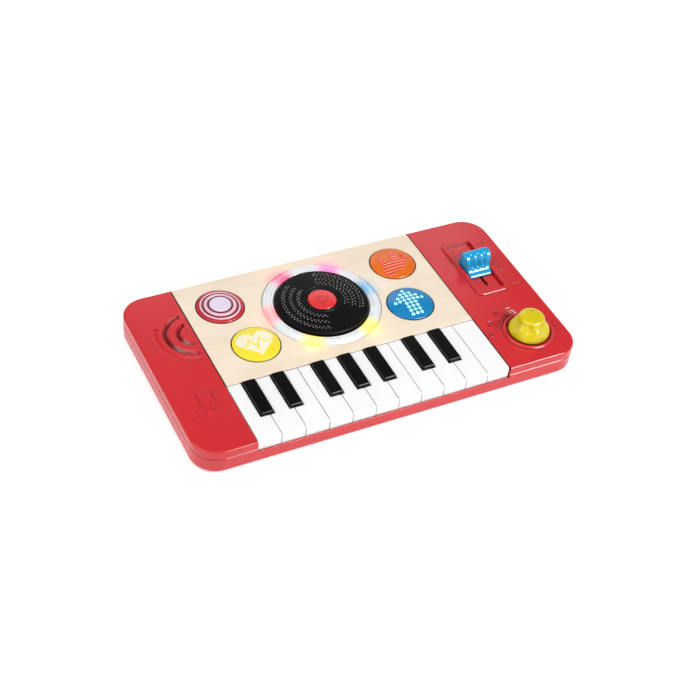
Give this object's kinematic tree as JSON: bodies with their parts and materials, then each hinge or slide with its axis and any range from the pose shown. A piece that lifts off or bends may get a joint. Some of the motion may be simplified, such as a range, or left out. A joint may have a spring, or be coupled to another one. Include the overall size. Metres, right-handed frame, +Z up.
{
  "type": "toy electronic keyboard",
  "caption": "Children's tabletop electronic keyboard with piano keys, a turntable disc with lit ring, round push buttons, a slider and a selector knob.",
  "frame": {"origin": "middle of the plan, on the surface that the rubber feet stand on", "axes": "+X along the keys towards the high notes, +Y away from the player, +Z up"},
  "size_m": [0.353, 0.1894, 0.0429],
  "materials": {
    "red_shell": "moulded, satin gloss",
    "birch": "birch plywood, clear matt lacquer",
    "milky_plastic": "translucent milky",
    "key_white": "gloss",
    "key_black": "gloss",
    "disc_black": "fine moulded texture",
    "centre_red": "gloss",
    "target_red": "gloss with printed rings",
    "crown_orange": "gloss with printed stripes",
    "heart_yellow": "gloss with printed heart",
    "arrow_blue": "gloss with printed dots",
    "slider_blue": "gloss",
    "knob_yellow": "gloss",
    "bearing_plastic": "unfilled acetal",
    "switch_black": "matt",
    "steel": "zinc plated",
    "spring_bronze": "spring bronze",
    "circuit_board": "green solder mask",
    "silicone": "matt",
    "foam": "open-cell",
    "led_clear": "clear",
    "cell_jacket": "plain printed jacket",
    "speaker_paper": "pressed paper",
    "magnet": "sintered ferrite",
    "foot_rubber": "matt"
  },
  "bodies": {
    "housing": {"bottom_shell": "red_shell", "top_shell": "red_shell", "battery_door": "red_shell", "wood_panel": "birch", "light_ring": "milky_plastic", "key_hinge_rod": "steel", "key_contact_board": "circuit_board", "key_rubber_strip": "silicone", "key_stop_strip": "foam", "disc_track_board": "circuit_board", "disc_spindle": "bearing_plastic", "disc_clip": "steel", "led_board": "circuit_board", "leds": "led_clear", "slider_pot": "switch_black", "rotary_switch": "switch_black", "power_switch_body": "switch_black", "battery_door_screw": "steel", "batteries": "cell_jacket", "battery_contacts": "spring_bronze", "speaker_frame": "steel", "speaker_cone": "speaker_paper", "speaker_magnet": "magnet", "main_board": "circuit_board", "button_switches": "switch_black", "housing_screws": "steel", "wood_screws": "steel", "rubber_feet": "foot_rubber"},
    "turntable": {"scratch_disc": "disc_black", "disc_wiper": "spring_bronze"},
    "turntable_button": {"centre_button": "centre_red"},
    "target_button": {"target_button": "target_red"},
    "crown_button": {"crown_button": "crown_orange"},
    "heart_button": {"heart_button": "heart_yellow"},
    "arrow_button": {"arrow_button": "arrow_blue"},
    "slider": {"slider_cap": "slider_blue", "slider_lever": "steel"},
    "selector": {"effect_knob": "knob_yellow", "knob_shaft": "steel"},
    "power_switch": {"power_switch_cap": "switch_black"},
    "white_key_c1": {"white_key_c1": "key_white"},
    "white_key_d1": {"white_key_d1": "key_white"},
    "white_key_e1": {"white_key_e1": "key_white"},
    "white_key_f1": {"white_key_f1": "key_white"},
    "white_key_g1": {"white_key_g1": "key_white"},
    "white_key_a1": {"white_key_a1": "key_white"},
    "white_key_b1": {"white_key_b1": "key_white"},
    "white_key_c2": {"white_key_c2": "key_white"},
    "white_key_d2": {"white_key_d2": "key_white"},
    "white_key_e2": {"white_key_e2": "key_white"},
    "white_key_f2": {"white_key_f2": "key_white"},
    "black_key_cs1": {"black_key_cs1": "key_black"},
    "black_key_ds1": {"black_key_ds1": "key_black"},
    "black_key_fs1": {"black_key_fs1": "key_black"},
    "black_key_gs1": {"black_key_gs1": "key_black"},
    "black_key_as1": {"black_key_as1": "key_black"},
    "black_key_cs2": {"black_key_cs2": "key_black"},
    "black_key_ds2": {"black_key_ds2": "key_black"}
  },
  "joints": [
    {"name": "white_key_c1_press", "type": "hinge", "parent": "housing", "child": "white_key_c1", "pos_m": [-0.0118, -0.02, 0.013], "axis": [1, 0, 0], "range_deg": [0, 2.3], "stiffness_Nm_per_rad": 0.3, "springref_deg": -2.86},
    {"name": "white_key_d1_press", "type": "hinge", "parent": "housing", "child": "white_key_d1", "pos_m": [-0.0118, -0.02, 0.013], "axis": [1, 0, 0], "range_deg": [0, 2.3], "stiffness_Nm_per_rad": 0.3, "springref_deg": -2.86},
    {"name": "white_key_e1_press", "type": "hinge", "parent": "housing", "child": "white_key_e1", "pos_m": [-0.0118, -0.02, 0.013], "axis": [1, 0, 0], "range_deg": [0, 2.3], "stiffness_Nm_per_rad": 0.3, "springref_deg": -2.86},
    {"name": "white_key_f1_press", "type": "hinge", "parent": "housing", "child": "white_key_f1", "pos_m": [-0.0118, -0.02, 0.013], "axis": [1, 0, 0], "range_deg": [0, 2.3], "stiffness_Nm_per_rad": 0.3, "springref_deg": -2.86},
    {"name": "white_key_g1_press", "type": "hinge", "parent": "housing", "child": "white_key_g1", "pos_m": [-0.0118, -0.02, 0.013], "axis": [1, 0, 0], "range_deg": [0, 2.3], "stiffness_Nm_per_rad": 0.3, "springref_deg": -2.86},
    {"name": "white_key_a1_press", "type": "hinge", "parent": "housing", "child": "white_key_a1", "pos_m": [-0.0118, -0.02, 0.013], "axis": [1, 0, 0], "range_deg": [0, 2.3], "stiffness_Nm_per_rad": 0.3, "springref_deg": -2.86},
    {"name": "white_key_b1_press", "type": "hinge", "parent": "housing", "child": "white_key_b1", "pos_m": [-0.0118, -0.02, 0.013], "axis": [1, 0, 0], "range_deg": [0, 2.3], "stiffness_Nm_per_rad": 0.3, "springref_deg": -2.86},
    {"name": "white_key_c2_press", "type": "hinge", "parent": "housing", "child": "white_key_c2", "pos_m": [-0.0118, -0.02, 0.013], "axis": [1, 0, 0], "range_deg": [0, 2.3], "stiffness_Nm_per_rad": 0.3, "springref_deg": -2.86},
    {"name": "white_key_d2_press", "type": "hinge", "parent": "housing", "child": "white_key_d2", "pos_m": [-0.0118, -0.02, 0.013], "axis": [1, 0, 0], "range_deg": [0, 2.3], "stiffness_Nm_per_rad": 0.3, "springref_deg": -2.86},
    {"name": "white_key_e2_press", "type": "hinge", "parent": "housing", "child": "white_key_e2", "pos_m": [-0.0118, -0.02, 0.013], "axis": [1, 0, 0], "range_deg": [0, 2.3], "stiffness_Nm_per_rad": 0.3, "springref_deg": -2.86},
    {"name": "white_key_f2_press", "type": "hinge", "parent": "housing", "child": "white_key_f2", "pos_m": [-0.0118, -0.02, 0.013], "axis": [1, 0, 0], "range_deg": [0, 2.3], "stiffness_Nm_per_rad": 0.3, "springref_deg": -2.86},
    {"name": "black_key_cs1_press", "type": "hinge", "parent": "housing", "child": "black_key_cs1", "pos_m": [-0.0118, -0.02, 0.013], "axis": [1, 0, 0], "range_deg": [0, 2.3], "stiffness_Nm_per_rad": 0.3, "springref_deg": -2.86},
    {"name": "black_key_ds1_press", "type": "hinge", "parent": "housing", "child": "black_key_ds1", "pos_m": [-0.0118, -0.02, 0.013], "axis": [1, 0, 0], "range_deg": [0, 2.3], "stiffness_Nm_per_rad": 0.3, "springref_deg": -2.86},
    {"name": "black_key_fs1_press", "type": "hinge", "parent": "housing", "child": "black_key_fs1", "pos_m": [-0.0118, -0.02, 0.013], "axis": [1, 0, 0], "range_deg": [0, 2.3], "stiffness_Nm_per_rad": 0.3, "springref_deg": -2.86},
    {"name": "black_key_gs1_press", "type": "hinge", "parent": "housing", "child": "black_key_gs1", "pos_m": [-0.0118, -0.02, 0.013], "axis": [1, 0, 0], "range_deg": [0, 2.3], "stiffness_Nm_per_rad": 0.3, "springref_deg": -2.86},
    {"name": "black_key_as1_press", "type": "hinge", "parent": "housing", "child": "black_key_as1", "pos_m": [-0.0118, -0.02, 0.013], "axis": [1, 0, 0], "range_deg": [0, 2.3], "stiffness_Nm_per_rad": 0.3, "springref_deg": -2.86},
    {"name": "black_key_cs2_press", "type": "hinge", "parent": "housing", "child": "black_key_cs2", "pos_m": [-0.0118, -0.02, 0.013], "axis": [1, 0, 0], "range_deg": [0, 2.3], "stiffness_Nm_per_rad": 0.3, "springref_deg": -2.86},
    {"name": "black_key_ds2_press", "type": "hinge", "parent": "housing", "child": "black_key_ds2", "pos_m": [-0.0118, -0.02, 0.013], "axis": [1, 0, 0], "range_deg": [0, 2.3], "stiffness_Nm_per_rad": 0.3, "springref_deg": -2.86},
    {"name": "target_press", "type": "slide", "parent": "housing", "child": "target_button", "axis": [0, 0, -1], "range_m": [0, 0.0018], "stiffness_N_per_m": 400, "springref_m": -0.001},
    {"name": "crown_press", "type": "slide", "parent": "housing", "child": "crown_button", "axis": [0, 0, -1], "range_m": [0, 0.0018], "stiffness_N_per_m": 400, "springref_m": -0.001},
    {"name": "heart_press", "type": "slide", "parent": "housing", "child": "heart_button", "axis": [0, 0, -1], "range_m": [0, 0.0018], "stiffness_N_per_m": 400, "springref_m": -0.001},
    {"name": "arrow_press", "type": "slide", "parent": "housing", "child": "arrow_button", "axis": [0, 0, -1], "range_m": [0, 0.0018], "stiffness_N_per_m": 400, "springref_m": -0.001},
    {"name": "turntable_spin", "type": "hinge", "parent": "housing", "child": "turntable", "pos_m": [-0.0118, 0.0337, 0.0275], "axis": [0, 0, 1], "continuous": true},
    {"name": "turntable_button_press", "type": "slide", "parent": "turntable", "child": "turntable_button", "axis": [0, 0, -1], "range_m": [0, 0.0012], "stiffness_N_per_m": 400, "springref_m": -0.001},
    {"name": "slider_travel", "type": "slide", "parent": "housing", "child": "slider", "axis": [0, 1, 0], "range_m": [-0.02, 0.02]},
    {"name": "selector_turn", "type": "hinge", "parent": "housing", "child": "selector", "pos_m": [0.1422, -0.0597, 0.03], "axis": [0, 0, -1], "range_deg": [-57, 57]},
    {"name": "power_switch_travel", "type": "slide", "parent": "housing", "child": "power_switch", "axis": [1, 0, 0], "range_m": [0, 0.006]}
  ]
}
